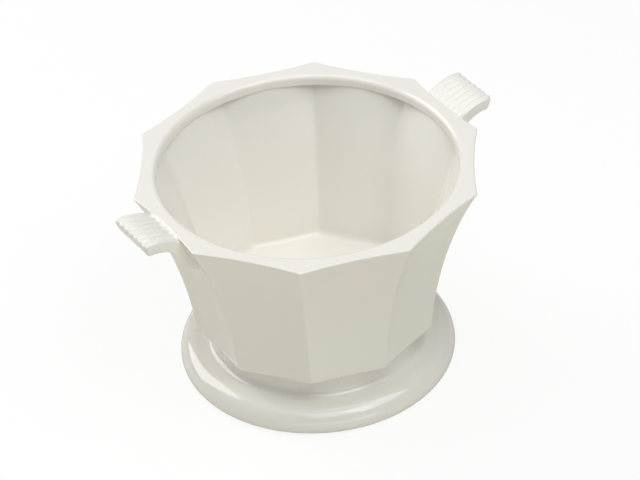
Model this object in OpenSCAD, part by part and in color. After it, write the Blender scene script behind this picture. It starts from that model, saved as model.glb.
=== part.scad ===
// Ten-sided glazed cachepot: a bowl with ten hollowed panels and a flat rim,
// standing on a round rolled foot, with a reeded lug handle on two sides.
// Every piece is drawn where it sits. The table is z = 0, the handles lie
// on the x axis and a corner of the rim points along +y.

/* [Bowl] */
// width of the rim over two opposite corners
rim_w = 280; // [264:2:300]
// height from the table to the top of the rim
pot_h = 186; // [176:1:200]
// width of the flat rim at the middle of a side
rim_land = 11.5; // [10:0.5:14]
// radius of the great ball that hollows each panel
panel_r = 400; // [380:5:440]
// thickness of the cast wall
wall_t = 6; // [5:0.5:7]
// depth of the rim where the mouth passes through it
lip_h = 9; // [7.5:0.5:11]
// thickness of the floor
floor_t = 6; // [5:0.5:8]

/* [Foot] */
// height of the bowl's base above the table
base_h = 40; // [38:1:46]
// how far the foot's roll stands out past the bowl's base
foot_out = 19; // [16:0.5:24]
// how far the neck stands in under the bowl's base
neck_in = 8; // [7:0.5:14]
// radius of the roll round the foot
roll_r = 14; // [12:0.5:15]
// width of the unglazed ring that the pot stands on
land_w = 8; // [6:0.5:10]

/* [Handles] */
// width of each handle along its side of the pot
handle_w = 45.5; // [38:0.5:54]
// how far each handle stands out past the side of the rim
handle_reach = 33; // [29:1:37]
// how far the top of each handle rises over the rim
handle_rise = 7; // [4:0.5:10]
// thickness of the handle, ribs included
handle_t = 11.5; // [10:0.5:13]
// number of ribs on each handle
ribs = 7; // [5:1:9]

/* [Hidden] */
$fn = 96;
ball_fn = 240;
sides = 10;
half = 180 / sides;
over = 1;

// the rim, taken from its width over the corners
rim_r = rim_w / 2;

// the ball that hollows a panel: its centre stands far outside the pot and
// this far below the rim, so the wall flares more and more towards the rim
ball_drop = 171;
ball_z = pot_h - ball_drop;
ball_x = rim_r * cos(half)
       + sqrt(pow(panel_r, 2) - pow(ball_drop, 2) - pow(rim_r * sin(half), 2));
function side_r(z) = ball_x - sqrt(pow(panel_r, 2) - pow(z - ball_z, 2));
rim_side = side_r(pot_h);
base_side = side_r(base_h);

// an eased edge is an arc that crosses both its faces at this shallow angle
edge_angle = 20;

// the mouth: eased at the top, and leaning in to the walls below the lip
mouth_r = rim_side - rim_land;
lip_round = 4;
lip_top = pot_h - lip_round * cos(edge_angle);
lip_slope = 30;
lip_lean = 6;

// the eased bottom edge of every panel
base_round = 6.4;
edge_in = base_round * cos(edge_angle);
edge_z = base_h + edge_in;
edge_x = sqrt(pow(panel_r + edge_in, 2) - pow(edge_z - ball_z, 2));
// every second panel is eased this much higher, so that the faces at a
// corner don't all meet in one point
edge_step = 0.1;

// the floor inside and its cove
floor_z = base_h + floor_t;
cove_r = 16;
cove_gap = 5;
cove_x = base_side - wall_t - cove_gap;

// the foot
foot_r = base_side + foot_out;
neck_r = base_side - neck_in;
foot_t = 6;
toe_r = 6;
shelf_z = toe_r + roll_r;
foot_cove = 6;
hollow_r = foot_r - toe_r - land_w;
hollow_round = 6;
hollow_z = shelf_z - foot_t;
seat_w = 15;
seat_in = neck_r - seat_w;

// the slip that joins the pieces, and the shallow seat in the base
slip_t = 1;
seat_d = 1.5;
foot_top = base_h + seat_d - slip_t;
bead = 2.5;

// the handles: a band bent round an axis that lies along the side
arch_r = 42;
arch_in = arch_r - handle_t;
arch_back = 6.5;
tip_x = rim_side + handle_reach;
top_z = pot_h + handle_rise;
arch_x = tip_x - arch_back;
arch_z = top_z - arch_r;
band_start = 76;
band_turn = 180 - band_start;
tip_slant = 20;
heel_r = 8;
heel_x = arch_x - arch_in - heel_r;
heel_z = arch_z + heel_r;
wall_reach = 50;
rib_p = handle_w / ribs;
rib_share = 0.555;
rib_r = rib_share * rib_p;

// the ball of the panel that faces along x, and one for each side
module ball(r) {
    translate([ball_x, 0, ball_z]) sphere(r = r, $fn = ball_fn);
}

module balls(r) {
    for (k = [0 : sides - 1]) rotate(k * 360 / sides) ball(r);
}

// what is cut away under a panel to ease its bottom edge, drawn round the
// upright line through the centre of the panel's ball
module edge_cutter() {
    rotate_extrude($fn = ball_fn) difference() {
        translate([edge_x - 2 * base_round, base_h - over])
            square([2 * base_round, edge_in + over]);
        translate([edge_x, edge_z]) circle(r = base_round);
    }
}

// the outside of the bowl: a block hollowed by the ten balls
module bowl_outside() {
    difference() {
        translate([0, 0, base_h]) cylinder(r = rim_r + over, h = pot_h - base_h);
        balls(panel_r);
    }
}

// the space inside: a dished floor under ten hollowed walls
module cavity() {
    difference() {
        rotate_extrude() union() {
            polygon([[0, floor_z], [cove_x, floor_z],
                     [cove_x + cove_r, floor_z + cove_r], [rim_r, floor_z + cove_r],
                     [rim_r, pot_h - lip_h - (rim_r - mouth_r) * tan(lip_slope)],
                     [mouth_r, pot_h - lip_h], [0, pot_h - lip_h]]);
            intersection() {
                translate([cove_x, floor_z + cove_r]) circle(r = cove_r);
                translate([0, floor_z]) square([rim_r, cove_r]);
            }
        }
        balls(panel_r + wall_t);
    }
}

// the round mouth through the rim
module mouth() {
    rotate_extrude() union() {
        polygon([[0, pot_h - lip_h - lip_lean], [mouth_r - lip_lean, pot_h - lip_h - lip_lean],
                 [mouth_r, pot_h - lip_h], [mouth_r, lip_top], [0, lip_top]]);
        difference() {
            translate([0, lip_top]) square([mouth_r + lip_round, pot_h - lip_top + over]);
            translate([mouth_r + lip_round, lip_top]) circle(r = lip_round);
        }
    }
}

// the shallow ring under the base that the foot is set into
module foot_seat() {
    translate([0, 0, base_h - over]) difference() {
        cylinder(r = neck_r + slip_t, h = seat_d + over);
        translate([0, 0, -over]) cylinder(r = seat_in - slip_t, h = seat_d + 3 * over);
    }
}

module bowl() {
    color("ivory") difference() {
        bowl_outside();
        for (k = [0 : sides - 1])
            rotate(k * 360 / sides)
                translate([ball_x, 0, (k % 2) * edge_step]) edge_cutter();
        cavity();
        mouth();
        foot_seat();
    }
}

// half section of the foot's outside: roll, toe, shelf, cove and neck
module foot_outline() {
    intersection() {
        translate([foot_r - roll_r, toe_r]) circle(r = roll_r);
        translate([0, toe_r]) square([foot_r + over, roll_r + over]);
    }
    intersection() {
        translate([foot_r - toe_r, toe_r]) circle(r = toe_r);
        translate([0, -over]) square([foot_r + over, toe_r + over]);
    }
    square([foot_r - toe_r, toe_r]);
    square([foot_r - roll_r, shelf_z]);
    difference() {
        square([neck_r + foot_cove, shelf_z + foot_cove]);
        translate([neck_r + foot_cove, shelf_z + foot_cove]) circle(r = foot_cove);
    }
    square([neck_r, foot_top]);
}

// half section of the hollow under the foot
module foot_hollow() {
    translate([0, -over]) square([hollow_r, hollow_z - hollow_round + over]);
    translate([hollow_r - hollow_round, hollow_z - hollow_round]) circle(r = hollow_round);
    square([hollow_r - hollow_round, hollow_z]);
    square([neck_r - foot_t, foot_top - foot_t]);
    square([seat_in, foot_top + over]);
}

module foot() {
    color("ivory") rotate_extrude() difference() {
        union() foot_outline();
        foot_hollow();
    }
}

// the ring of slip in the seat, wiped to a small cove round the neck
module foot_slip() {
    color("wheat") rotate_extrude() {
        translate([seat_in - slip_t, foot_top]) square([seat_w + 2 * slip_t, slip_t]);
        difference() {
            translate([neck_r, base_h - bead]) square([bead, bead]);
            translate([neck_r + bead, base_h - bead]) circle(r = bead);
        }
        translate([neck_r, base_h]) square([slip_t, seat_d]);
    }
}

// the band of a handle before it is trimmed: a reeded strip bent round
// the handle's axis
module reeded_band() {
    translate([arch_x, 0, arch_z]) rotate([90, 0, 0]) rotate(band_start)
        rotate_extrude(angle = band_turn) {
            translate([arch_in, -handle_w / 2]) square([handle_t - rib_r, handle_w]);
            for (k = [0 : ribs - 1])
                translate([arch_r - rib_r, (k + 0.5) * rib_p - handle_w / 2])
                    circle(r = rib_r);
        }
}

// side view of the handle: slanted tip, rounded heel
module handle_side() {
    polygon([[rim_side - wall_reach, arch_z], [heel_x, arch_z], [heel_x, heel_z],
             [tip_x - (top_z - heel_z) * tan(tip_slant), heel_z],
             [tip_x + over * tan(tip_slant), top_z + over],
             [rim_side - wall_reach, top_z + over]]);
    translate([heel_x, heel_z]) circle(r = heel_r);
}

// a whole handle, cut to the panel's ball with a gap for the slip
module lug(gap) {
    intersection() {
        reeded_band();
        rotate([90, 0, 0]) translate([0, 0, -handle_w])
            linear_extrude(height = 2 * handle_w) union() handle_side();
        ball(panel_r - gap);
    }
}

module slip_pad() {
    difference() {
        lug(0);
        ball(panel_r - slip_t);
    }
}

module handle_right() { color("ivory") lug(slip_t); }
module handle_left() { rotate(180) handle_right(); }
module handle_slip_right() { color("wheat") slip_pad(); }
module handle_slip_left() { rotate(180) handle_slip_right(); }

bowl();
foot();
foot_slip();
handle_left();
handle_right();
handle_slip_left();
handle_slip_right();
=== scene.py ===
import math
from functools import partial

import bmesh
import bpy
from mathutils import Matrix, Vector


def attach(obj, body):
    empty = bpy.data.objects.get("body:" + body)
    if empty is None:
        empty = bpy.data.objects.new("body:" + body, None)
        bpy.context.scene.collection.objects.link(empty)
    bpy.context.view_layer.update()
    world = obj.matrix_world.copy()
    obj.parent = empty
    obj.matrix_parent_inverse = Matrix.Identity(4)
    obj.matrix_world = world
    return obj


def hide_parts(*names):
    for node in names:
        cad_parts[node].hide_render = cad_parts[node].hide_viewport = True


bl_info = {
    "name": "Ten-sided cachepot",
    "version": (1, 0, 0),
    "blender": (4, 5, 0),
    "location": "View3D > Sidebar > Cachepot",
    "description": "Builds a glazed ten-sided cachepot with reeded handles round its CAD frame",
    "category": "Add Mesh",
}

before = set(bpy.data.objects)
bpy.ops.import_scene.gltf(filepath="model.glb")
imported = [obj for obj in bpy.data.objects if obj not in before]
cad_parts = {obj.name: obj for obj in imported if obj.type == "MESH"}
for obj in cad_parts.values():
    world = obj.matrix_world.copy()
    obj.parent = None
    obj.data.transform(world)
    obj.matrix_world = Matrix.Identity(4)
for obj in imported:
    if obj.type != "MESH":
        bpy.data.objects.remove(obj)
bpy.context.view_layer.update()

MM = 0.001
BODY = "root"
SIDES = 10
HALF = math.pi / SIDES        # half of a panel's angle round the pot
NEAR = 1e-6                   # points nearer to each other than this are merged

# where the foot is luted into the bowl's base
SEAT_WIDTH = 15.0 * MM        # width of the neck's upper end
SEAT_DEPTH = 1.5 * MM         # depth of the seat for it in the base
SEAT_ROOM = 1.0 * MM          # slip on either side of it
NECK_END = 0.5 * MM           # how far the neck stands up in the seat


# Sizes and colours

class PotSizes(bpy.types.PropertyGroup):
    """Sizes of the bowl and its foot"""
    rim_width: bpy.props.FloatProperty(
        name="Rim width", description="Over two opposite corners",
        default=0.280, unit="LENGTH")
    height: bpy.props.FloatProperty(
        name="Height", description="From the table to the rim",
        default=0.186, unit="LENGTH")
    rim_land: bpy.props.FloatProperty(
        name="Rim land", description="Width of the flat rim at the middle of a side",
        default=0.0115, unit="LENGTH")
    panel_radius: bpy.props.FloatProperty(
        name="Panel radius", description="Radius of the ball that hollows each panel",
        default=0.400, unit="LENGTH")
    ball_drop: bpy.props.FloatProperty(
        name="Ball drop", description="How far the ball's centre stands below the rim",
        default=0.171, unit="LENGTH")
    wall: bpy.props.FloatProperty(
        name="Wall", description="Thickness of the cast wall",
        default=0.006, unit="LENGTH")
    lip_depth: bpy.props.FloatProperty(
        name="Lip depth", description="Depth of the rim at the mouth",
        default=0.009, unit="LENGTH")
    lip_round: bpy.props.FloatProperty(
        name="Lip rounding", description="Radius of the mouth's upper edge",
        default=0.0038, unit="LENGTH", precision=4)
    floor: bpy.props.FloatProperty(
        name="Floor", description="Thickness of the floor",
        default=0.006, unit="LENGTH")
    floor_cove: bpy.props.FloatProperty(
        name="Floor cove", description="Radius between the walls and the floor",
        default=0.006, unit="LENGTH")
    base_height: bpy.props.FloatProperty(
        name="Base height", description="Height of the bowl's base over the table",
        default=0.040, unit="LENGTH")
    foot_out: bpy.props.FloatProperty(
        name="Foot out", description="How far the roll stands out past the base",
        default=0.019, unit="LENGTH")
    neck_in: bpy.props.FloatProperty(
        name="Neck in", description="How far the neck stands in under the base",
        default=0.008, unit="LENGTH")
    roll: bpy.props.FloatProperty(
        name="Roll", description="Radius of the roll round the foot",
        default=0.014, unit="LENGTH")
    land: bpy.props.FloatProperty(
        name="Land", description="Width of the ring that the pot stands on",
        default=0.008, unit="LENGTH")
    arris_soft: bpy.props.FloatProperty(
        name="Corner softness", description="How much the glaze rounds the panels' corners",
        default=0.00035, unit="LENGTH", precision=5)
    rim_soft: bpy.props.FloatProperty(
        name="Rim softness", description="How much more the glaze rounds them at the rim",
        default=0.0002, unit="LENGTH", precision=5)
    arris: bpy.props.FloatProperty(
        name="Arris", description="Rounding of the rim's outer edge",
        default=0.0010, unit="LENGTH", precision=4)
    rim_grow: bpy.props.FloatProperty(
        name="Rim growth", description="How far the glaze thickens the rim outwards, "
        "so that its rounded edge stands where the sharp one would",
        default=0.0008, unit="LENGTH", precision=4)
    grow_height: bpy.props.FloatProperty(
        name="Growth height", description="Height over which it does",
        default=0.030, unit="LENGTH")
    fold_soft: bpy.props.FloatProperty(
        name="Fold softness", description="How much the glaze fills the inner corners",
        default=0.0011, unit="LENGTH", precision=5)


class HandleSizes(bpy.types.PropertyGroup):
    """Sizes of the two reeded handles"""
    width: bpy.props.FloatProperty(
        name="Width", description="Along the side of the pot",
        default=0.0455, unit="LENGTH")
    reach: bpy.props.FloatProperty(
        name="Reach", description="How far the tip stands out past the rim",
        default=0.033, unit="LENGTH")
    rise: bpy.props.FloatProperty(
        name="Rise", description="How far the top rises over the rim",
        default=0.007, unit="LENGTH")
    thickness: bpy.props.FloatProperty(
        name="Thickness", description="Ribs included",
        default=0.0115, unit="LENGTH")
    ribs: bpy.props.IntProperty(
        name="Ribs", description="Ribs on each handle", default=7, min=3, max=11)
    arch: bpy.props.FloatProperty(
        name="Arch", description="Outer radius of the bent band",
        default=0.042, unit="LENGTH")
    arch_back: bpy.props.FloatProperty(
        name="Arch back", description="How far the arch's axis stands behind the tip",
        default=0.0065, unit="LENGTH", precision=4)
    heel: bpy.props.FloatProperty(
        name="Heel", description="Radius of the rounded lower end",
        default=0.008, unit="LENGTH")
    tip_slant: bpy.props.FloatProperty(
        name="Tip slant", description="How far the tip's face leans in below",
        default=math.radians(20), subtype="ANGLE")
    fillet: bpy.props.FloatProperty(
        name="Slip fillet", description="Radius of the wiped slip round the root",
        default=0.003, unit="LENGTH", precision=5)


class PotColours(bpy.types.PropertyGroup):
    """Colours of the finishes"""
    glaze: bpy.props.FloatVectorProperty(
        name="Glaze", description="Ivory glaze", subtype="COLOR", size=3,
        default=(0.91, 0.893, 0.837), min=0, max=1)
    glaze_deep: bpy.props.FloatVectorProperty(
        name="Pooled glaze", description="Where the glaze lies thicker", subtype="COLOR",
        size=3, default=(0.89, 0.862, 0.787), min=0, max=1)
    pin_mark: bpy.props.FloatVectorProperty(
        name="Pin mark", description="Bottom of a pin mark in the glaze", subtype="COLOR",
        size=3, default=(0.52, 0.46, 0.36), min=0, max=1)
    clay: bpy.props.FloatVectorProperty(
        name="Bare clay", description="Unglazed ring under the foot", subtype="COLOR",
        size=3, default=(0.62, 0.53, 0.42), min=0, max=1)
    floor: bpy.props.FloatVectorProperty(
        name="Floor", description="Plain pale floor", subtype="COLOR", size=3,
        default=(0.84, 0.825, 0.74), min=0, max=1)


def pot_sizes():
    return bpy.context.scene.pot_sizes


def handle_sizes():
    return bpy.context.scene.handle_sizes


def colours():
    return bpy.context.scene.pot_colours


# Sums

def soft_ramp(value, soft):
    """0 below 0 and the value itself above, with a soft turn between"""
    return soft * math.log1p(math.exp(min(value / soft, 50.0)))


def ease(t):
    """From 0 to 1 with a soft start and end"""
    return t * t * (3 - 2 * t)


def shares(first, last, whole):
    """The shares first / whole to last / whole"""
    return [i / whole for i in range(first, last + 1)]


def arc(cx, cz, r, start, end, count):
    """Points on an arc in the plane y = 0, angles in degrees"""
    turns = (math.radians(start + (end - start) * t) for t in shares(0, count, count))
    return [(cx + r * math.cos(a), cz + r * math.sin(a)) for a in turns]


# Shape of the pot

class PotShape:
    """The bowl's surfaces, worked out from its sizes"""

    def __init__(self):
        s = pot_sizes()
        self.s = s
        self.top = s.height
        self.rim_r = s.rim_width / 2
        self.ball_z = s.height - s.ball_drop
        self.ball_x = self.rim_r * math.cos(HALF) + math.sqrt(
            s.panel_radius ** 2 - s.ball_drop ** 2 - (self.rim_r * math.sin(HALF)) ** 2)
        self.rim_side = self.ball_x - self.ball_reach(s.height)
        self.base_side = self.ball_x - self.ball_reach(s.base_height)
        self.mouth_r = self.rim_side - s.rim_land
        self.foot_r = self.base_side + s.foot_out
        self.neck_r = self.base_side - s.neck_in
        self.seat_in = self.neck_r - SEAT_WIDTH - SEAT_ROOM
        self.seat_out = self.neck_r + SEAT_ROOM

    def ball_reach(self, z, extra=0.0):
        """Distance from the ball's upright axis to its surface at height z"""
        r = self.s.panel_radius + extra
        return math.sqrt(r * r - (z - self.ball_z) ** 2)

    def reach_at(self, z):
        """The same to the glazed outside, which grows a little towards the rim"""
        up = max(z - self.top + self.s.grow_height, 0) / self.s.grow_height
        return self.ball_reach(z) - self.s.rim_grow * up * up

    def rim_lean(self):
        """Angle at which the outside leans out at the rim"""
        return math.atan(self.s.ball_drop / self.ball_reach(self.top)
                         + 2 * self.s.rim_grow / self.s.grow_height)

    def arris_centre(self):
        """(reach, z) of the centre of the rounding along the rim's outer edge"""
        s = self.s
        away = s.arris / math.tan((math.pi / 2 - self.rim_lean()) / 2)
        return self.reach_at(self.top) + away, self.top - s.arris

    def skin_reach(self, z):
        """Reach of the outside at a height, with that rounding"""
        cx, cz = self.arris_centre()
        if z < cz - self.s.arris * math.sin(self.rim_lean()):
            return self.reach_at(z)
        return cx - math.sqrt(self.s.arris ** 2 - (min(z, self.top) - cz) ** 2)

    def soft_radius(self, angle, reach, soft):
        """Distance of the panels from the pot's axis, with its corners eased"""
        a = abs((angle + HALF) % (2 * HALF) - HALF)
        near, far = (self.ball_x * math.cos(t)
                     - math.sqrt(reach ** 2 - (self.ball_x * math.sin(t)) ** 2)
                     for t in (a, 2 * HALF - a))
        return near - soft_ramp(near - far, soft)


# Meshes and pieces

def chain(bm, points, closed=False, layer=None):
    """A line of edges through (x, z) points in the plane y = 0. A layer takes each point's
    number, which follows it through an operator"""
    verts = [bm.verts.new((x, 0.0, z)) for x, z in points]
    if layer is not None:
        for i, v in enumerate(verts):
            v[layer] = i
    ends = verts[1:] + verts[:1] if closed else verts[1:]
    return verts + [bm.edges.new(pair) for pair in zip(verts, ends)]


def turn_round(bm, geom, steps):
    """Turns a line once round the pot's axis"""
    bmesh.ops.spin(bm, geom=geom, cent=(0, 0, 0), axis=(0, 0, 1), dvec=(0, 0, 0),
                   angle=2 * math.pi, steps=steps, use_merge=True, use_duplicate=False)


def close_up(bm):
    """Merges doubled points and turns the faces outwards"""
    bmesh.ops.remove_doubles(bm, verts=bm.verts[:], dist=NEAR)
    bmesh.ops.recalc_face_normals(bm, faces=bm.faces[:])


def new_piece(name, bm, materials, slot, *nodes, smooth_angle=None):
    """A finished piece from a bmesh, which stands for CAD nodes and rides on the pot's body"""
    mesh = bpy.data.meshes.new(name)
    bm.to_mesh(mesh)
    bm.free()
    piece = bpy.data.objects.new(name, mesh)
    bpy.context.scene.collection.objects.link(piece)
    for material in materials:
        mesh.materials.append(material)
    mesh.shade_smooth()
    if smooth_angle is not None:
        mesh.set_sharp_from_angle(angle=smooth_angle)
    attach(piece, BODY)
    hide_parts(*nodes)


# Finishes

MIX_SHARE, MIX_FIRST, MIX_SECOND, MIX_COLOUR = 0, 6, 7, 2   # a colour mix node's sockets
WIPED = 0.8              # share of its colour that the clay keeps where it was wiped most
FLOOR_SEEN = 0.8         # grey of the floor that the camera sees
FLOOR_GLOW = 1.04        # and the light that it gives off there
GLOW_SHARE = 0.84        # share of that light in it


def node(tree, kind, **values):
    """A new node, with inputs or settings given by name"""
    n = tree.nodes.new(kind)
    for key, value in values.items():
        if key in n.inputs:
            n.inputs[key].default_value = value
        else:
            setattr(n, key, value)
    return n


def noise(tree, place, scale, detail, roughness=0.5):
    n = node(tree, "ShaderNodeTexNoise", Scale=scale, Detail=detail, Roughness=roughness)
    tree.links.new(place, n.inputs["Vector"])
    return n.outputs["Fac"]


def remap(tree, value, to_min, to_max, from_min=0.0, from_max=1.0):
    """A value carried over from one range to another"""
    n = node(tree, "ShaderNodeMapRange")
    for name, limit in (("From Min", from_min), ("From Max", from_max),
                        ("To Min", to_min), ("To Max", to_max)):
        n.inputs[name].default_value = limit
    tree.links.new(value, n.inputs["Value"])
    return n.outputs["Result"]


def mix(tree, share, second):
    """A colour mix node towards the second colour, with its first left open"""
    n = node(tree, "ShaderNodeMix", data_type="RGBA", blend_type="MIX")
    n.inputs[MIX_SECOND].default_value = (*second, 1)
    tree.links.new(share, n.inputs[MIX_SHARE])
    return n


def bump(tree, height, strength, distance):
    n = node(tree, "ShaderNodeBump", Strength=strength, Distance=distance)
    tree.links.new(height, n.inputs["Height"])
    return n


def new_finish(name):
    """A material with its tree, its shader and its object coordinates"""
    material = bpy.data.materials.new(name)
    material.use_nodes = True
    tree = material.node_tree
    place = node(tree, "ShaderNodeTexCoord").outputs["Object"]
    return material, tree, tree.nodes["Principled BSDF"], place


def glaze_finish(name):
    """Ivory glaze: clear gloss, faint clouding, orange peel and rare pin marks"""
    c = colours()
    material, tree, shader, place = new_finish(name)
    link = tree.links.new
    shader.inputs["IOR"].default_value = 1.6
    shader.inputs["Coat Weight"].default_value = 0.0

    clouds = noise(tree, place, scale=14.0, detail=3.0, roughness=0.55)
    clouds = remap(tree, clouds, from_min=0.30, from_max=0.72, to_min=0.0, to_max=0.35)
    tone = mix(tree, clouds, c.glaze_deep)
    tone.inputs[MIX_FIRST].default_value = (*c.glaze, 1)

    pins = node(tree, "ShaderNodeTexVoronoi", Scale=55.0, Randomness=1.0)
    link(place, pins.inputs["Vector"])
    pins = remap(tree, pins.outputs["Distance"],
                 from_min=0.012, from_max=0.028, to_min=0.30, to_max=0.0)
    marked = mix(tree, pins, c.pin_mark)
    link(tone.outputs[MIX_COLOUR], marked.inputs[MIX_FIRST])
    link(marked.outputs[MIX_COLOUR], shader.inputs["Base Color"])

    fine = noise(tree, place, scale=160.0, detail=2.0, roughness=0.6)
    link(remap(tree, fine, to_min=0.025, to_max=0.105), shader.inputs["Roughness"])

    waves = noise(tree, place, scale=38.0, detail=2.0, roughness=0.4)
    peel = bump(tree, waves, strength=0.10, distance=0.6 * MM)
    grain = bump(tree, fine, strength=0.05, distance=0.1 * MM)
    link(peel.outputs["Normal"], grain.inputs["Normal"])
    link(grain.outputs["Normal"], shader.inputs["Normal"])
    return material


def clay_finish(name):
    """Bare fired clay: matte, fine grained, a little darker where it was wiped"""
    clay_colour = colours().clay
    material, tree, shader, place = new_finish(name)
    link = tree.links.new
    shader.inputs["Roughness"].default_value = 0.85
    wiped = noise(tree, place, scale=30.0, detail=2.0)
    tone = mix(tree, wiped, [WIPED * v for v in clay_colour])
    tone.inputs[MIX_FIRST].default_value = (*clay_colour, 1)
    link(tone.outputs[MIX_COLOUR], shader.inputs["Base Color"])
    fine = noise(tree, place, scale=420.0, detail=4.0, roughness=0.6)
    grain = bump(tree, fine, strength=0.35, distance=0.3 * MM)
    link(grain.outputs["Normal"], shader.inputs["Normal"])
    return material


def floor_finish(name):
    """Plain pale floor that shows white to the camera and keeps a soft shadow"""
    material = bpy.data.materials.new(name)
    material.use_nodes = True
    tree = material.node_tree
    tree.nodes.clear()
    link = tree.links.new
    paint = node(tree, "ShaderNodeBsdfDiffuse", Color=(*colours().floor, 1))
    grey = node(tree, "ShaderNodeBsdfDiffuse", Color=(FLOOR_SEEN, FLOOR_SEEN, FLOOR_SEEN, 1))
    glow = node(tree, "ShaderNodeEmission", Strength=FLOOR_GLOW)
    seen = node(tree, "ShaderNodeMixShader", Fac=GLOW_SHARE)
    link(grey.outputs[0], seen.inputs[1])
    link(glow.outputs[0], seen.inputs[2])
    rays = node(tree, "ShaderNodeLightPath")
    both = node(tree, "ShaderNodeMixShader")
    link(rays.outputs["Is Camera Ray"], both.inputs["Fac"])
    link(paint.outputs[0], both.inputs[1])
    link(seen.outputs[0], both.inputs[2])
    out = node(tree, "ShaderNodeOutputMaterial")
    link(both.outputs[0], out.inputs["Surface"])
    return material


def finish_named(name, maker):
    return bpy.data.materials.get(name) or maker(name)


def glaze():
    return finish_named("ivory_glaze", glaze_finish)


def clay():
    return finish_named("bare_clay", clay_finish)


# Bowl

COLUMNS = 32             # columns of faces on each panel
CORNER_CROWD = 0.88      # how much the columns crowd to the corners
SMOOTH_PASSES = 3        # over the rows round the floor
TUBE_RADIUS = 100 * MM   # of the plain tube that the bowl starts as


def crowd_to_corners(angle):
    """Moves an even angle towards the nearest corner of the pot"""
    width = 2 * HALF
    panel = math.floor((angle + HALF) / width)
    t = (angle + HALF) / width - panel
    t -= CORNER_CROWD * math.sin(2 * math.pi * t) / (2 * math.pi)
    return (panel + t) * width - HALF


class BowlSection:
    """The bowl's section as a run of rows, each giving (radius, height) at an angle"""

    BASE_RINGS = (0.0, 20 * MM, 45 * MM)   # rings under the base, inside the seat
    RING_GAP = 1.0 * MM      # gap between the last ring there and the seat
    EDGE = 6.0 * MM          # rounding of the panels' bottom edge
    LIP_EDGE = 1.2 * MM      # rounding of the lip's lower edge
    LIP_SLOPE = 30           # degrees at which the lip's underside falls to the wall
    LIP_SOFT = 0.5 * MM      # how softly it meets the wall
    LIP_ZONE = 13.0 * MM     # height in which the inner rows crowd up to the lip
    LIP_CROWD = 1.4          # and how much they do
    FOLD_CROWD = 0.5         # how much the rows below crowd to both their ends

    def __init__(self, shape):
        self.shape = shape
        self.s = s = shape.s
        self.rows = []
        self.soft_rows = set()
        self.corner_soft = s.arris_soft + s.rim_soft
        self.floor_z = s.base_height + s.floor
        self.cove_z = self.floor_z + s.floor_cove
        self.edge_z = s.base_height + self.EDGE
        self.edge_reach = math.sqrt((s.panel_radius + self.EDGE) ** 2
                                    - (self.edge_z - shape.ball_z) ** 2)
        self.base_rows()
        self.add(self.under_row, shares(1, 3, 4))
        self.add(self.edge_row, shares(0, 8, 8))
        self.add(self.wall_row, shares(1, 39, 40))
        self.add(self.arris_row, shares(0, 8, 8))
        self.add(self.land_row, shares(1, 6, 7))
        self.lip_low = self.lip_rows()
        self.add(self.under_lip_row, shares(1, 24, 24))
        self.add(self.inside_row, shares(1, 33, 35))
        self.add(self.inside_row, shares(34, 35, 35), soft=True)
        self.add(self.cove_row, shares(1, 12, 12), soft=True)
        self.add(self.floor_row, shares(1, 10, 10))

    def add(self, row, parts, soft=False):
        """Adds rows along a stretch of the section, soft ones to be smoothed"""
        for part in parts:
            if soft:
                self.soft_rows.add(len(self.rows))
            self.rows.append(partial(row, part))

    def ring(self, r, z):
        """Adds a round row"""
        self.rows.append(lambda angle: (r, z))

    def base_rows(self):
        """Under the base: a flat disc and the seat of the foot round it"""
        base, seat = self.s.base_height, self.s.base_height + SEAT_DEPTH
        inner, outer = self.shape.seat_in, self.shape.seat_out
        for r in (*self.BASE_RINGS, inner - self.RING_GAP, inner):
            self.ring(r, base)
        self.ring(inner, seat)
        self.ring(outer, seat)
        self.ring(outer, base)

    def under_row(self, t, angle):
        """From the seat out to the panels' bottom edge"""
        seat, reach = self.shape.seat_out, self.edge_point(0)[0]
        edge = self.shape.soft_radius(angle, reach, self.s.arris_soft * 2)
        return seat + (edge - seat) * t, self.s.base_height

    def edge_point(self, t):
        """(reach, z) on the rounding of the bottom edge"""
        low = math.asin((self.edge_z - self.shape.ball_z) / (self.s.panel_radius + self.EDGE))
        a = math.pi / 2 + (low - math.pi / 2) * t
        return self.edge_reach - self.EDGE * math.cos(a), self.edge_z - self.EDGE * math.sin(a)

    def edge_row(self, t, angle):
        reach, z = self.edge_point(t)
        return self.shape.soft_radius(angle, reach, self.s.arris_soft * (2 - t)), z

    def wall_row(self, t, angle):
        """Up the outside of a panel"""
        low, high = self.edge_point(1)[1], self.arris_point(0)[1]
        z = low + (high - low) * t
        soft = self.s.arris_soft + self.s.rim_soft * t ** 3
        return self.shape.soft_radius(angle, self.shape.reach_at(z), soft), z

    def arris_point(self, t):
        """(reach, z) on the rounding of the rim's outer edge"""
        lean = self.shape.rim_lean()
        cx, cz = self.shape.arris_centre()
        a = -lean + (math.pi / 2 + lean) * t
        return cx - self.s.arris * math.cos(a), cz + self.s.arris * math.sin(a)

    def arris_row(self, t, angle):
        reach, z = self.arris_point(t)
        return self.shape.soft_radius(angle, reach, self.corner_soft), z

    def land_row(self, t, angle):
        """Across the flat rim"""
        edge = self.arris_row(1, angle)[0]
        return edge + (self.shape.mouth_r + self.s.lip_round - edge) * t, self.shape.top

    def lip_rows(self):
        """Down through the mouth; returns (radius, height) of the lip's lower end"""
        mouth_r, lip, edge = self.shape.mouth_r, self.s.lip_round, self.LIP_EDGE
        high, low = self.shape.top - lip, self.shape.top - self.s.lip_depth + edge
        points = arc(mouth_r + lip, high, lip, 90, 180, count=10)
        points += [(mouth_r, high + (low - high) * t) for t in shares(1, 4, 5)]
        points += arc(mouth_r + edge, low, edge, 180, 240, count=5)
        for r, z in points:
            self.ring(r, z)
        return points[-1]

    def inner_wall(self, angle, z):
        """The hollowed inner wall, with its corners filled by glaze"""
        reach = self.shape.ball_reach(z, self.s.wall)
        return self.shape.soft_radius(angle, reach, self.s.fold_soft)

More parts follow.
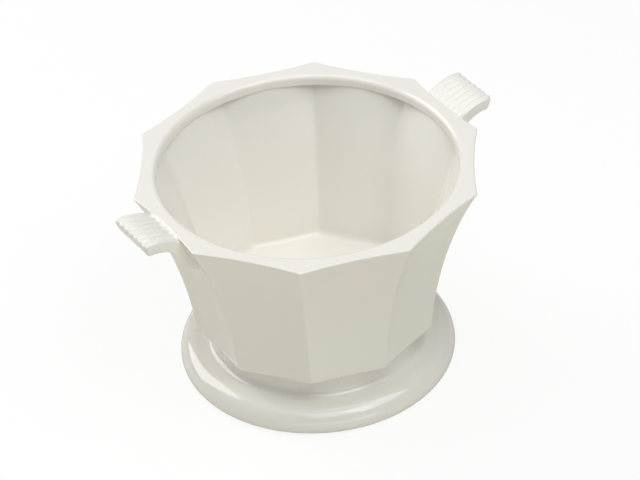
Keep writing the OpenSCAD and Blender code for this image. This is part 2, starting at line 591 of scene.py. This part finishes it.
    def inside_at(self, angle, z):
        """The inner wall, with the underside of the lip eased into it"""
        wall = self.inner_wall(angle, z)
        under = self.lip_low[0] + (self.lip_low[1] - z) / math.tan(math.radians(self.LIP_SLOPE))
        return wall - soft_ramp(wall - under, self.LIP_SOFT), z

    def under_lip_row(self, t, angle):
        return self.inside_at(angle, self.lip_low[1] - self.LIP_ZONE * t ** self.LIP_CROWD)

    def inside_row(self, t, angle):
        """Down the inner wall to the cove"""
        t -= self.FOLD_CROWD * math.sin(2 * math.pi * t) / (2 * math.pi)
        start = self.lip_low[1] - self.LIP_ZONE
        return self.inside_at(angle, start + (self.cove_z - start) * t)

    def floor_row(self, t, angle):
        """From the cove to the middle of the floor"""
        edge = self.inner_wall(angle, self.cove_z) - self.s.floor_cove
        return edge * (1 - t), self.floor_z

    def cove_row(self, t, angle):
        edge = self.floor_row(0, angle)[0]
        a, cove = math.pi / 2 * t, self.s.floor_cove
        return edge + cove * math.cos(a), self.cove_z - cove * math.sin(a)


class POT_OT_bowl(bpy.types.Operator):
    """Builds the ten-sided bowl with its rim, panels, floor and cove"""
    bl_idname = "pot.bowl"
    bl_label = "Bowl"

    def execute(self, context):
        section = BowlSection(PotShape())
        bm = bmesh.new()
        layer = bm.verts.layers.int.new("row")
        # an upright line is turned to a plain tube, and then each row goes to its place
        points = [(TUBE_RADIUS, i * MM) for i in range(len(section.rows))]
        turn_round(bm, chain(bm, points, layer=layer), SIDES * COLUMNS)
        for v in bm.verts:
            angle = crowd_to_corners(math.atan2(v.co.y, v.co.x))
            r, z = section.rows[v[layer]](angle)
            v.co = (r * math.cos(angle), r * math.sin(angle), z)
        soft = [v for v in bm.verts if v[layer] in section.soft_rows]
        for _ in range(SMOOTH_PASSES):
            bmesh.ops.smooth_vert(bm, verts=soft, factor=0.5,
                                  use_axis_x=True, use_axis_y=True, use_axis_z=True)
        close_up(bm)
        new_piece("bowl_glazed", bm, [glaze()], "glaze", "bowl")
        return {"FINISHED"}


# Foot and its slip

ROUND_STEPS = 224        # columns of faces round the foot


class FootSection:
    """Closed half section of the foot: roll, toe, land, hollow, neck and cove"""

    TOE = 6.0 * MM           # rounding between the roll and the land
    TOE_TURN = 84            # degrees of it
    TOE_FLAT = 0.3 * MM      # how far outside its centre the land starts
    COVE = 6.5 * MM          # cove between the neck and the shelf
    NECK_EASE = 0.6 * MM     # eased upper edge of the neck
    LAND_EASE = 0.8 * MM     # eased inner edge of the land
    WALL = 6.0 * MM          # thickness over and beside the hollow
    HOLLOW_TOP = 14.0 * MM   # ceiling of the hollow's low outer part
    HOLLOW_ROUND = 6.0 * MM  # rounding round that ceiling
    STEP_ROUND = 2.0 * MM    # rounding where the hollow steps up into the neck
    CROWN_ROUND = 4.0 * MM   # rounding under the neck's upper end
    HOLE_ROUND = 1.0 * MM    # rounding of the hole through it
    RING_DROP = 0.5 * MM     # how far the neck's rings stand under even places
    LOW_RING = 4.0 * MM      # height of the ring inside the land
    HIGH_RING = 24.0 * MM    # height of the ring inside the neck
    CLAY_HEIGHT = 0.3 * MM   # the glaze is wiped off up to this height

    def __init__(self, shape):
        s = shape.s
        self.neck_r, self.foot_r, self.roll = shape.neck_r, shape.foot_r, s.roll
        self.shelf = self.TOE + s.roll
        self.top = s.base_height + NECK_END
        self.hollow_r = shape.foot_r - self.TOE - s.land
        self.hole_r = shape.neck_r - SEAT_WIDTH

    def points(self):
        return self.outside() + self.land() + self.hollow()

    def outside(self):
        """From the hole over the neck, the cove and the roll to the toe"""
        neck_r, top, cove = self.neck_r, self.top, self.COVE
        points = [(self.hole_r, top), (neck_r - self.NECK_EASE, top),
                  (neck_r, top - self.NECK_EASE)]
        points += [(neck_r, top - (top - self.shelf - cove) * t - self.RING_DROP)
                   for t in shares(1, 3, 4)]
        points += arc(neck_r + cove, self.shelf + cove, cove, 180, 270, count=12)
        roll_r = self.foot_r - self.roll
        points += [(neck_r + cove + (roll_r - neck_r - cove) * t, self.shelf)
                   for t in shares(1, 3, 4)]
        points += arc(roll_r, self.TOE, self.roll, 90, 0, count=24)
        toe_r = self.foot_r - self.TOE
        return points + arc(toe_r, self.TOE, self.TOE, 0, -self.TOE_TURN, count=10)[1:]

    def land(self):
        """The ring that the pot stands on, with its eased inner edge"""
        start, ease_r = self.foot_r - self.TOE + self.TOE_FLAT, self.LAND_EASE
        end = self.hollow_r + ease_r
        points = [(start + (end - start) * t, 0.0) for t in shares(0, 4, 4)]
        return points + arc(end, ease_r, ease_r, 270, 180, count=4)[1:]

    def hollow(self):
        """The hollow underneath, up to the hole"""
        corner, step, crown, hole = (self.HOLLOW_ROUND, self.STEP_ROUND,
                                     self.CROWN_ROUND, self.HOLE_ROUND)
        step_r, ceiling = self.neck_r - self.WALL, self.top - self.WALL
        points = [(self.hollow_r, self.LOW_RING)]
        points += arc(self.hollow_r - corner, self.HOLLOW_TOP - corner, corner, 0, 90, count=10)
        points += arc(step_r + step, self.HOLLOW_TOP + step, step, 270, 180, count=6)
        points += [(step_r, self.HIGH_RING)]
        points += arc(step_r - crown, ceiling - crown, crown, 0, 90, count=8)
        return points + arc(self.hole_r + hole, ceiling + hole, hole, 270, 180, count=4)


class POT_OT_foot(bpy.types.Operator):
    """Builds the round rolled foot with its cove, neck and hollow"""
    bl_idname = "pot.foot"
    bl_label = "Foot"

    def execute(self, context):
        section = FootSection(PotShape())
        bm = bmesh.new()
        turn_round(bm, chain(bm, section.points(), closed=True), ROUND_STEPS)
        close_up(bm)
        for face in bm.faces:
            middle = face.calc_center_median()
            if middle.z < section.CLAY_HEIGHT and middle.xy.length > section.hollow_r:
                face.material_index = 1
        new_piece("foot_glazed", bm, [glaze(), clay()], "glaze", "foot")
        return {"FINISHED"}


class POT_OT_foot_slip(bpy.types.Operator):
    """Builds the wiped ring of slip between the bowl and the foot"""
    bl_idname = "pot.foot_slip"
    bl_label = "Slip of the foot"

    BEAD = 2.5 * MM          # radius of the cove that the slip is wiped to

    def execute(self, context):
        shape = PotShape()
        neck_r, base, bead = shape.neck_r, shape.s.base_height, self.BEAD
        top, seat = base + SEAT_DEPTH, base + NECK_END
        points = [(shape.seat_in, top), (shape.seat_in, seat), (neck_r, seat)]
        points += arc(neck_r + bead, base - bead, bead, 180, 90, count=10)
        points += [(shape.seat_out, base), (shape.seat_out, top)]
        bm = bmesh.new()
        turn_round(bm, chain(bm, points, closed=True), ROUND_STEPS)
        close_up(bm)
        new_piece("foot_slip_wiped", bm, [glaze()], "slip", "foot_slip",
                  smooth_angle=math.radians(40))
        return {"FINISHED"}


# Handles and their slip

class HandleShape:
    """Side view and ribs of a handle, drawn on the right side of the pot"""

    EDGE = 2.2 * MM          # rounding of the two sides
    TIP_TOP = 2.4 * MM       # rounding of the tip's upper edge
    TIP_LOW = 3.0 * MM       # rounding of its lower edge
    TIP_SHRINK = 0.8         # how much less both are towards the sides
    GAP = 0.4 * MM           # room for the slip behind the handle
    SINK = 0.12 * MM         # how far the glaze in the crease goes into the panel
    FILL_DOWN = 0.6 * MM     # how far below the rim it ends on the panel
    FILL_LEAN = 0.7 * MM     # how much higher it ends on the band
    FILL_END = 5 * MM        # how far it thins out towards the sides
    FILL_LEAST = 0.02        # share of it that is left there
    FILL_HOLLOW = 0.45       # how deep its surface is drawn into the crease
    BACK_DROP = 1.0 * MM     # how far under the root the back of the handle starts
    FACE_RINGS = (0.33, 0.67)  # places of two points on the tip's face, as shares of it
    RIB_SHARE = 0.555        # radius of a rib as a share of the pitch
    GROOVE_FILL = 0.34       # share of a groove's depth that the glaze fills
    RIB_COLUMNS = 12         # columns of faces on each rib
    SIDE_COLUMNS = 7         # and on each rounded side
    HALVINGS = 30            # steps in the search for the root

    def __init__(self):
        h = handle_sizes()
        self.h = h
        self.pot = pot = PotShape()
        slant = h.tip_slant
        self.corner = Vector((pot.rim_side + h.reach, pot.top + h.rise))
        self.axis = self.corner - Vector((h.arch_back, h.arch))
        self.down = Vector((-math.sin(slant), -math.cos(slant)))  # along the tip's face
        self.out = Vector((math.cos(slant), -math.sin(slant)))    # out of the tip's face
        self.inner = h.arch - h.thickness
        # the heel is tangent to the inner arc and stands level with the axis
        self.heel = self.axis + Vector((-math.sqrt(self.inner ** 2
                                                   + 2 * self.inner * h.heel), h.heel))

    def panel_x(self, y, z):
        """Where the pot's panel stands at a place on the handle's side"""
        return self.pot.ball_x - math.sqrt(self.pot.skin_reach(z) ** 2 - y * y)

    def turn_of(self, point):
        """Angle in degrees at which a point of the side view stands round the arch's axis"""
        away = point - self.axis
        return math.degrees(math.atan2(away.y, away.x))

    def tip_centre(self, radius, inset, arc_r):
        """Centre of a rounding between the tip's face and one of the arcs"""
        base = self.corner - self.out * (radius + inset)
        away = base - self.axis
        b = away.dot(self.down)
        return base + self.down * (-b - math.sqrt(b * b - away.length_squared + arc_r ** 2))

    def root_angle(self, y, radius):
        """Angle at which an arc of the band goes into the panel, found by halving"""
        low, high = 90.0, 180.0
        for _ in range(self.HALVINGS):
            middle = (low + high) / 2
            x, z = arc(*self.axis, radius, middle, middle, count=1)[0]
            if x > self.panel_x(y, z) + self.GAP:
                low = middle
            else:
                high = middle
        return low

    def crease(self, y, outer):
        """Where the glaze in the crease behind the rim starts on the band, as an angle,
        the root that it covers, and where it ends on the panel"""
        root_angle = self.root_angle(y, outer)
        root = Vector(arc(*self.axis, outer, root_angle, root_angle, count=1)[0])
        share = ease(min((self.h.width / 2 - abs(y)) / self.FILL_END, 1))
        share = max(share, self.FILL_LEAST)
        z = root.y + share * (self.pot.top - self.FILL_DOWN - root.y)
        end = Vector((self.panel_x(y, z) - self.SINK, z))
        rise = (z + self.FILL_LEAN * share - self.axis.y) / outer
        return min(180 - math.degrees(math.asin(rise)), root_angle), root, end

    def outline(self, y, inset, depth):
        """Closed side view at a place across the handle, set in by an inset at its rounded
        sides and by its depth between the ribs' crests"""
        ax, az = self.axis
        outer, inner = self.h.arch - depth, self.inner + inset
        top_r, low_r = (r - self.TIP_SHRINK * inset for r in (self.TIP_TOP, self.TIP_LOW))
        top = self.tip_centre(top_r, inset, outer - top_r)
        low = self.tip_centre(low_r, inset, inner + low_r)
        top_a, low_a, heel_a = (self.turn_of(p) for p in (top, low, self.heel))
        face_a = -math.degrees(self.h.tip_slant)
        start_a, root, fill = self.crease(y, outer)
        # back along the ribs and down into the crease
        points = arc(ax, az, outer, top_a, start_a, count=38)
        start = Vector(points[-1])
        middle = start.lerp(fill, 0.5).lerp(root, self.FILL_HOLLOW)
        points += [tuple(start.lerp(middle, t).lerp(middle.lerp(fill, t), t))
                   for t in shares(1, 6, 6)]
        # down behind the handle, round the heel and out under the arch
        high_z, low_z = root.y - self.BACK_DROP, az + inset
        levels = [high_z + (low_z - high_z) * t for t in shares(0, 8, 8)]
        points += [(self.panel_x(y, z) + self.GAP, z) for z in levels]
        points += arc(*self.heel, self.h.heel - inset, 270, 180 + heel_a, count=12)
        points += arc(ax, az, inner, heel_a, low_a, count=30)[1:]
        # round the tip and up its face
        points += arc(*low, low_r, low_a + 180, face_a + 360, count=8)[1:]
        face_low, face_top = low + self.out * low_r, top + self.out * top_r
        points += [tuple(face_low.lerp(face_top, t)) for t in self.FACE_RINGS]
        return points + arc(*top, top_r, face_a, top_a, count=8)[:-1]

    def rib_depth(self, y):
        """How far the reeded face lies under the ribs' crests"""
        pitch = self.h.width / self.h.ribs
        radius = self.RIB_SHARE * pitch
        t = (y + self.h.width / 2) / pitch
        off = (t - math.floor(t) - 0.5) * pitch
        full = radius - math.sqrt(radius ** 2 - (pitch / 2) ** 2)
        depth = radius - math.sqrt(radius ** 2 - off ** 2)
        # the glaze lies round and thick in the bottom of each groove
        return depth * (1 - self.GROOVE_FILL * (depth / full) ** 2)

    def columns(self):
        """(y, inset, depth) across the width: a rounded side, the ribs, the other side"""
        width, edge = self.h.width, self.EDGE
        turns = [math.pi / 2 * t for t in shares(0, self.SIDE_COLUMNS - 1, self.SIDE_COLUMNS)]
        side = [(-width / 2 + edge * (1 - math.cos(a)), edge * (1 - math.sin(a)))
                for a in turns]
        steps = self.RIB_COLUMNS * self.h.ribs
        reeded = [((width - 2 * edge) * (t - 0.5), 0.0) for t in shares(0, steps, steps)]
        across = side + reeded + [(-y, inset) for y, inset in reversed(side)]
        return [(y, inset, max(inset, self.rib_depth(y))) for y, inset in across]


def handle_mesh(shape):
    """A handle drawn on the right side of the pot, column by column"""
    first, *others = shape.columns()
    bm = bmesh.new()
    layer = bm.verts.layers.int.new("row")
    edges = [g for g in chain(bm, shape.outline(*first), closed=True, layer=layer)
             if isinstance(g, bmesh.types.BMEdge)]
    bmesh.ops.translate(bm, verts=bm.verts[:], vec=(0, first[0], 0))
    caps = [edges]
    for column in others:
        made = bmesh.ops.extrude_edge_only(bm, edges=edges)["geom"]
        verts = {g for g in made if isinstance(g, bmesh.types.BMVert)}
        edges = [g for g in made if isinstance(g, bmesh.types.BMEdge)
                 and verts.issuperset(g.verts)]
        points = shape.outline(*column)
        for v in verts:
            x, z = points[v[layer]]
            v.co = (x, column[0], z)
    caps.append(edges)
    for cap in caps:
        bmesh.ops.contextual_create(bm, geom=cap)
    close_up(bm)
    return bm


class SlipShape:
    """The slip behind a handle, wiped to a small cove round its root"""

    SINK = 0.03 * MM         # how far its edge goes into the panel
    INSET = 0.3 * MM         # how far the handle's side covers it
    FADE = (11 * MM, 2 * MM)  # it fades between these depths under the crease

    def __init__(self, handle):
        h = handle.h
        self.handle, self.fillet = handle, h.fillet
        self.half_w = h.width / 2 - self.INSET
        self.low = handle.axis.y
        self.high = self.low + h.arch * math.sin(math.radians(handle.root_angle(0, h.arch)))

    def spread(self, t, half):
        """Places half of the grid's lines in the fillet outside the root"""
        a = abs(t)
        far = half * a * 2 if a < 0.5 else half + self.fillet * (2 * a - 1)
        return math.copysign(far, t)

    def place(self, across, up):
        """A point on the slip's face, from its place between -1 and 1 on a grid"""
        y = self.spread(across, self.half_w)
        z = (self.low + self.high) / 2 + self.spread(up, (self.high - self.low) / 2)
        dy, dz = max(abs(y) - self.half_w, 0), max(self.low - z, 0)
        off = math.hypot(dy, dz)
        if off > self.fillet:
            y = math.copysign(self.half_w + dy * self.fillet / off, y)
            z = self.low - dz * self.fillet / off
            off = self.fillet
        cove = self.fillet - math.sqrt(self.fillet ** 2 - (self.fillet - off) ** 2)
        start, end = (self.high - depth for depth in self.FADE)
        cove *= 1 - ease(min(max((z - start) / (end - start), 0), 1))
        return self.handle.panel_x(y, z) - self.SINK + cove, y, z


def slip_mesh(handle):
    """The slip's wiped face from a grid, with a back close behind it"""
    slip = SlipShape(handle)
    bm = bmesh.new()
    bmesh.ops.create_grid(bm, x_segments=56, y_segments=48, size=1.0)
    for v in bm.verts:
        v.co = slip.place(v.co.x, v.co.y)
    made = bmesh.ops.extrude_face_region(bm, geom=bm.faces[:], use_keep_orig=True)["geom"]
    for v in (g for g in made if isinstance(g, bmesh.types.BMVert)):
        v.co.x = handle.panel_x(v.co.y, v.co.z) - 2 * slip.SINK
    bmesh.ops.recalc_face_normals(bm, faces=bm.faces[:])
    return bm


def on_both_sides(maker, part, finish, slot, smooth_angle=None):
    """Makes a piece that is drawn on the right side, for the right and the left"""
    for side, turn in (("right", 0.0), ("left", math.pi)):
        bm = maker(HandleShape())
        bmesh.ops.rotate(bm, verts=bm.verts[:], cent=(0, 0, 0),
                         matrix=Matrix.Rotation(turn, 3, "Z"))
        new_piece(f"{part}_{side}_{finish}", bm, [glaze()], slot,
                  f"{part}_{side}", smooth_angle=smooth_angle)


class POT_OT_handles(bpy.types.Operator):
    """Builds the two reeded handles"""
    bl_idname = "pot.handles"
    bl_label = "Handles"

    def execute(self, context):
        on_both_sides(handle_mesh, "handle", "glazed", "glaze", smooth_angle=math.radians(60))
        return {"FINISHED"}


class POT_OT_handle_slips(bpy.types.Operator):
    """Builds the slip that joins the handles to the bowl"""
    bl_idname = "pot.handle_slips"
    bl_label = "Slip of the handles"

    def execute(self, context):
        on_both_sides(slip_mesh, "handle_slip", "wiped", "slip")
        return {"FINISHED"}


# Stage

FLOOR_HALF = 6.0         # half of the floor's width
FLOOR_DROP = 0.5 * MM    # how far the floor lies under the foot
LIGHT_TARGET = Vector((0, 0, 0.10))      # where the lights look
WORLD_LEVEL = 0.15       # strength of the white world for all but camera rays

# name: degrees round from +X, degrees up, distance, width and height in metres, watts
LIGHTS = {
    "key_left": (117, 36, 1.7, 1.05, 1.35, 15.2),
    "line_front": (271, 3, 1.7, 0.6, 0.15, 1.3),
    "fill_front": (236, 4, 1.7, 1.6, 0.24, 2.0),
    "fill_high": (256, 58, 1.9, 1.3, 0.9, 5.4),
    "key_right": (298, 57, 1.7, 1.1, 0.9, 7.7),
    "overhead": (200, 87, 1.6, 1.3, 1.3, 7.3),
}

# the camera, fitted to the photo's rim corners, mouth and foot, with its angles in radians
CAMERA_SIDE = Vector((-0.5242, -0.8516))   # from the pot's axis towards the camera
CAMERA_RISE = 0.6321                       # angle over the rim's level
CAMERA_DISTANCE = 2.5482                   # from the middle of the rim
CAMERA_YAW, CAMERA_PITCH, CAMERA_ROLL = 0.0025, -0.0238, -0.0612
CAMERA_SENSOR, CAMERA_LENS = 36.0, 182.98  # both in millimetres
CAMERA_SIGHT = 50                          # how far it sees


def soft_box(name, azimuth, elevation, distance, width, height, watts):
    """A rectangular studio light that looks at the pot"""
    lamp = bpy.data.lights.new(name, "AREA")
    lamp.shape = "RECTANGLE"
    lamp.size, lamp.size_y = width, height
    lamp.energy = watts
    a, e = math.radians(azimuth), math.radians(elevation)
    away = Vector((math.cos(a) * math.cos(e), math.sin(a) * math.cos(e), math.sin(e)))
    holder = bpy.data.objects.new(name, lamp)
    bpy.context.scene.collection.objects.link(holder)
    holder.location = LIGHT_TARGET + distance * away
    holder.rotation_euler = (-away).to_track_quat("-Z", "Y").to_euler()


def turned(first, second, angle):
    """Two directions at right angles, turned in their own plane"""
    c, s = math.cos(angle), math.sin(angle)
    return c * first + s * second, c * second - s * first


def photo_camera():
    """Camera at the photo's angle: it looks at the middle of the rim, then yaws, pitches
    and rolls a little"""
    level = CAMERA_SIDE * math.cos(CAMERA_RISE)
    back = Vector((*level, math.sin(CAMERA_RISE)))
    right = Vector((-CAMERA_SIDE.y, CAMERA_SIDE.x, 0.0))
    up = back.cross(right)
    place = Vector((0, 0, pot_sizes().height)) + back * CAMERA_DISTANCE
    right, back = turned(right, back, CAMERA_YAW)
    up, back = turned(up, back, CAMERA_PITCH)
    right, up = turned(right, up, CAMERA_ROLL)
    data = bpy.data.cameras.new("camera")
    data.sensor_width, data.lens = CAMERA_SENSOR, CAMERA_LENS
    data.clip_end = CAMERA_SIGHT
    camera = bpy.data.objects.new("camera", data)
    bpy.context.scene.collection.objects.link(camera)
    turn = Matrix((right, up, back)).transposed().to_4x4()
    camera.matrix_world = Matrix.Translation(place) @ turn
    bpy.context.scene.camera = camera


def studio_world():
    """A dim white world that the camera sees at full white"""
    world = bpy.data.worlds.new("studio")
    bpy.context.scene.world = world
    world.use_nodes = True
    tree = world.node_tree
    back = tree.nodes["Background"]
    back.inputs["Color"].default_value = (1, 1, 1, 1)
    rays = node(tree, "ShaderNodeLightPath")
    level = remap(tree, rays.outputs["Is Camera Ray"], to_min=WORLD_LEVEL, to_max=1.0)
    tree.links.new(level, back.inputs["Strength"])


def studio_floor():
    """A wide floor just under the foot"""
    bm = bmesh.new()
    bmesh.ops.create_grid(bm, x_segments=1, y_segments=1, size=FLOOR_HALF)
    mesh = bpy.data.meshes.new("floor")
    bm.to_mesh(mesh)
    bm.free()
    floor = bpy.data.objects.new("floor", mesh)
    floor.location.z = -FLOOR_DROP
    bpy.context.scene.collection.objects.link(floor)
    mesh.materials.append(finish_named("floor_paint", floor_finish))


class POT_OT_stage(bpy.types.Operator):
    """Builds the floor, the soft lights and the camera"""
    bl_idname = "pot.stage"
    bl_label = "Stage"

    def execute(self, context):
        studio_floor()
        for name, values in LIGHTS.items():
            soft_box(name, *values)
        studio_world()
        photo_camera()
        context.scene.view_settings.view_transform = "Standard"
        return {"FINISHED"}


class POT_PT_panel(bpy.types.Panel):
    """Lists the pot's pieces, sizes and colours"""
    bl_idname = "POT_PT_panel"
    bl_label = "Cachepot"
    bl_space_type = "VIEW_3D"
    bl_region_type = "UI"
    bl_category = "Cachepot"

    def draw(self, context):
        layout = self.layout
        for group in (pot_sizes(), handle_sizes(), colours()):
            box = layout.box()
            for name in group.__annotations__:
                box.prop(group, name)
        for operator in OPERATORS:
            layout.operator(operator.bl_idname)


OPERATORS = (POT_OT_bowl, POT_OT_foot, POT_OT_foot_slip, POT_OT_handles,
             POT_OT_handle_slips, POT_OT_stage)
GROUPS = {"pot_sizes": PotSizes, "handle_sizes": HandleSizes, "pot_colours": PotColours}


def register():
    for cls in (*GROUPS.values(), *OPERATORS, POT_PT_panel):
        bpy.utils.register_class(cls)
    for name, group in GROUPS.items():
        setattr(bpy.types.Scene, name, bpy.props.PointerProperty(type=group))


def unregister():
    for name in GROUPS:
        delattr(bpy.types.Scene, name)
    for cls in (POT_PT_panel, *reversed(OPERATORS), *reversed(GROUPS.values())):
        bpy.utils.unregister_class(cls)


def main():
    register()
    bpy.ops.pot.bowl()
    bpy.ops.pot.foot()
    bpy.ops.pot.foot_slip()
    bpy.ops.pot.handles()
    bpy.ops.pot.handle_slips()
    bpy.ops.pot.stage()


if __name__ == "__main__":
    main()
